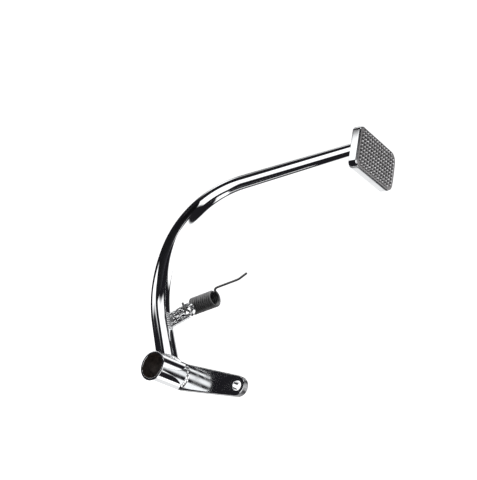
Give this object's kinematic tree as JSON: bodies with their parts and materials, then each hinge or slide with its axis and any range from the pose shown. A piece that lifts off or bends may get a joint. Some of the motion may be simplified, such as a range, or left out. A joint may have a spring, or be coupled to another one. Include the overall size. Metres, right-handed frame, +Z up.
{
  "type": "rear brake pedal",
  "caption": "Curved foot pedal lever with a pivot tube, a serrated tread, a plate for the brake rod and a coiled return spring.",
  "frame": {"origin": "centre of the pivot tube's bore, half way along it", "axes": "+X forward along the pedal, +Y along the pivot's axis towards the middle of the machine, +Z up"},
  "size_m": [0.2443, 0.1136, 0.1834],
  "materials": {
    "chrome": "bright chrome plating",
    "black_wire": "blackened spring wire"
  },
  "bodies": {
    "pedal": {"pivot_tube": "chrome", "pedal_arm": "chrome", "lever_plate": "chrome", "tread_pad": "chrome", "spring_lug": "chrome", "root_weld_bead": "chrome", "tread_weld_bead": "chrome", "lever_weld_bead": "chrome", "lug_weld_beads": "chrome"},
    "spring": {"return_spring": "black_wire"}
  },
  "joints": [
    {"name": "spring_swing", "type": "hinge", "parent": "pedal", "child": "spring", "pos_m": [0.05594, -0.004, 0.00523], "axis": [0, 1, 0], "range_deg": [-110, 85]}
  ]
}
